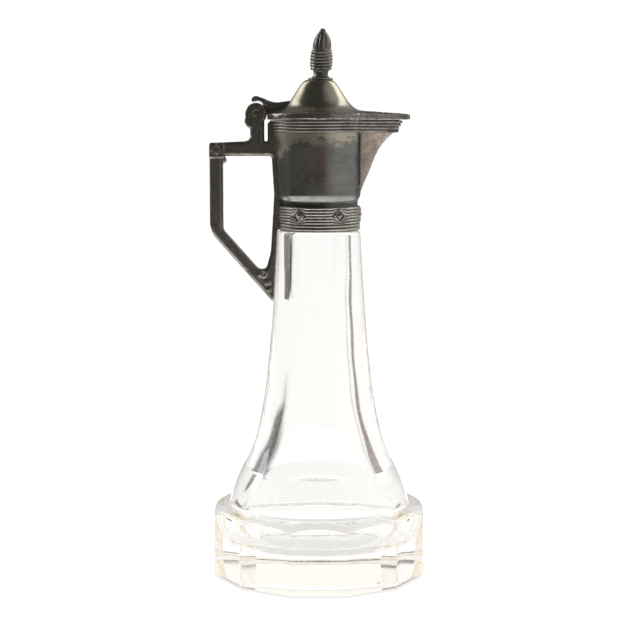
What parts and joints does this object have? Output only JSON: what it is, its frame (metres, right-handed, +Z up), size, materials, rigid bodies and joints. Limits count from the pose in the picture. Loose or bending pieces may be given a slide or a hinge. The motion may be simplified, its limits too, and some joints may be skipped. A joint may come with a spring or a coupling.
{
  "type": "oil cruet",
  "caption": "Glass table bottle for oil or vinegar, with a wide faceted foot and a pewter mount: pouring spout, angular handle and hinged lid with finial.",
  "frame": {"origin": "centre of the twelve-sided foot, on the surface that the bottle stands on", "axes": "+Z up along the bottle's axis, +X towards the pouring spout, handle towards -X; the side plane y = 0 is a mirror plane"},
  "size_m": [0.083, 0.0816, 0.212],
  "materials": {
    "clear_glass": "clear pressed and polished glass with a faint warm tint",
    "pewter": "tarnished pewter with worn silver plate, satin",
    "brass": "dull turned brass",
    "plaster": "matt plaster of Paris",
    "cork": "cork"
  },
  "bodies": {
    "jug": {"glass_bottle": "clear_glass", "plaster_bed": "plaster", "cork_seal": "cork", "throat_ring": "pewter", "mount_barrel": "pewter", "spout": "pewter", "rim_moulding": "pewter", "collar_band": "pewter", "handle": "pewter", "hinge_pin": "brass"},
    "lid": {"lid_shell": "pewter", "lid_arm": "pewter", "finial": "pewter", "finial_washer": "brass", "finial_nut": "brass"}
  },
  "joints": [
    {"name": "lid_hinge", "type": "hinge", "parent": "jug", "child": "lid", "pos_m": [-0.0242, 0, 0.1796], "axis": [0, -1, 0], "range_deg": [0, 95]}
  ]
}
